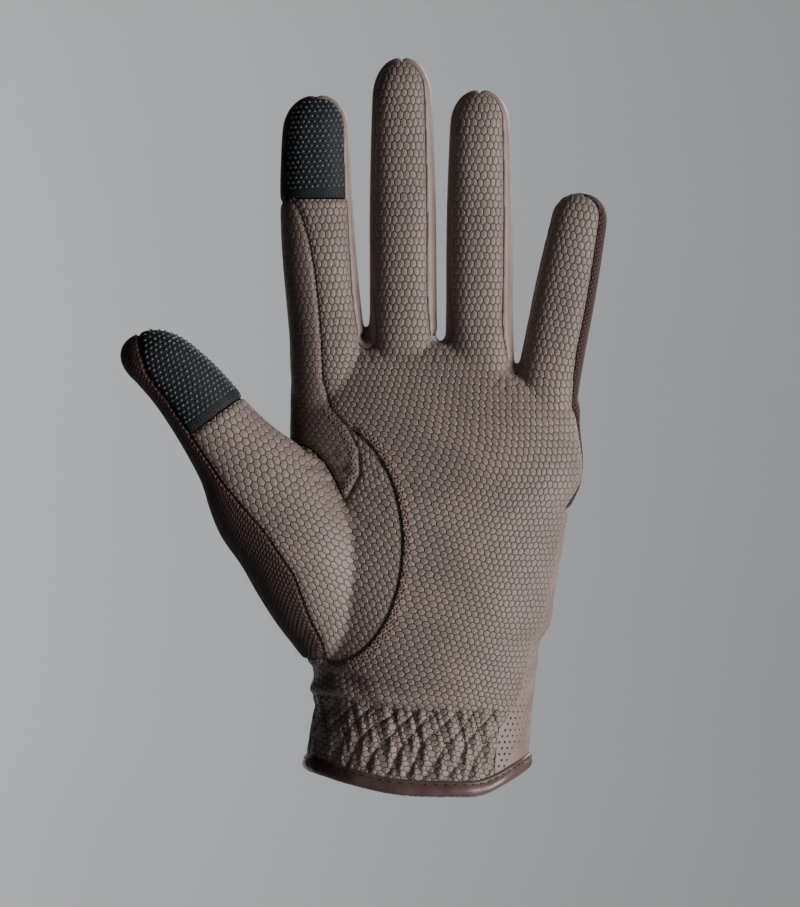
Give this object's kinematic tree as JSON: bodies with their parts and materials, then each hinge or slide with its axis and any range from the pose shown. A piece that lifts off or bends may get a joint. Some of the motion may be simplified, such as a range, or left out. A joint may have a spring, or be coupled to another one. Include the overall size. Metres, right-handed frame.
{
  "type": "horse riding glove",
  "caption": "Left-hand riding glove with embossed leather palm, knitted back, dotted fingertip pads, gathered wrist, punched back cuff and bound hem.",
  "frame": {"origin": "middle of the wrist opening, level with the lowest point of the hem, where the glove sits on the wrist", "axes": "+Z from the wrist opening to the fingertips, -Y the palm side, +Y the back of the hand, -X the thumb side"},
  "size_m": [0.1382, 0.0532, 0.2121],
  "materials": {
    "embossed_leather": "satin, six-sided embossed cells",
    "smooth_leather": "satin",
    "punched_leather": "satin, punched with small round holes",
    "binding_leather": "semi-gloss",
    "touch_pad": "semi-gloss raised dots on a matt ground",
    "knit": "matt, fine knit"
  },
  "bodies": {
    "root": {"palm": "embossed_leather", "thumb_front": "embossed_leather", "index_side_panel": "embossed_leather", "index_touch_pad": "touch_pad", "thumb_touch_pad": "touch_pad", "back_knit": "knit", "thumb_back_knit": "knit", "finger_wall_index_middle": "smooth_leather", "finger_wall_middle_ring": "smooth_leather", "finger_wall_ring_little": "smooth_leather", "back_cuff": "punched_leather", "wrist_binding": "binding_leather", "closing_tab": "punched_leather"}
  },
  "joints": []
}
